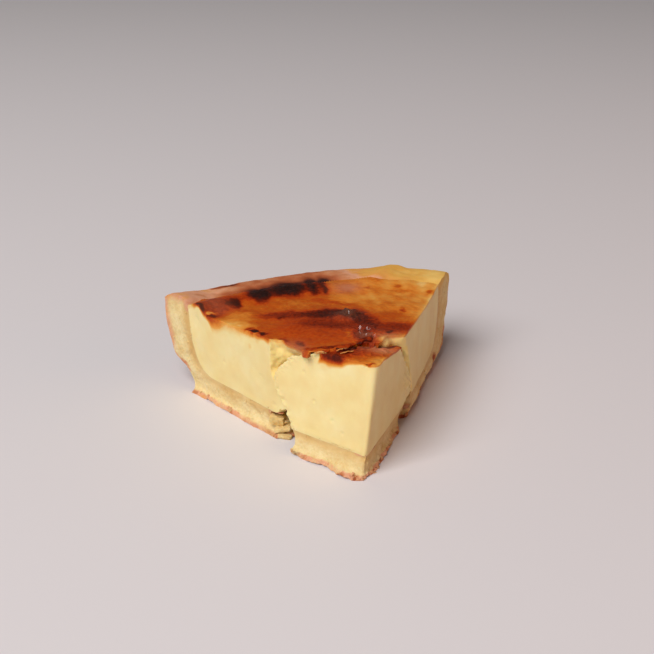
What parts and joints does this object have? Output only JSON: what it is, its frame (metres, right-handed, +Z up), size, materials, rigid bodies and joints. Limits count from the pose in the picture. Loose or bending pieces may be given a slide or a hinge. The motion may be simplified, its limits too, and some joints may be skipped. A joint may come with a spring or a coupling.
{
  "type": "custard flan slice",
  "caption": "Wedge slice of baked custard flan in a thick shortcrust shell, with a scorched caramel-brown top and its tip pressed off and standing in front.",
  "frame": {"origin": "under the middle of the box of the whole slice, on the surface it rests on", "axes": "+Z up; the point of the slice towards -Y and the rim of the shell towards +Y; +X to the right, seen from the point"},
  "size_m": [0.1364, 0.1304, 0.046],
  "materials": {
    "custard": "moist satin custard with a browned, partly glossy skin",
    "crust": "dry crumbly baked pastry"
  },
  "bodies": {
    "root": {"custard": "custard", "crust": "crust", "tip_custard": "custard", "tip_crust": "crust"}
  },
  "joints": []
}
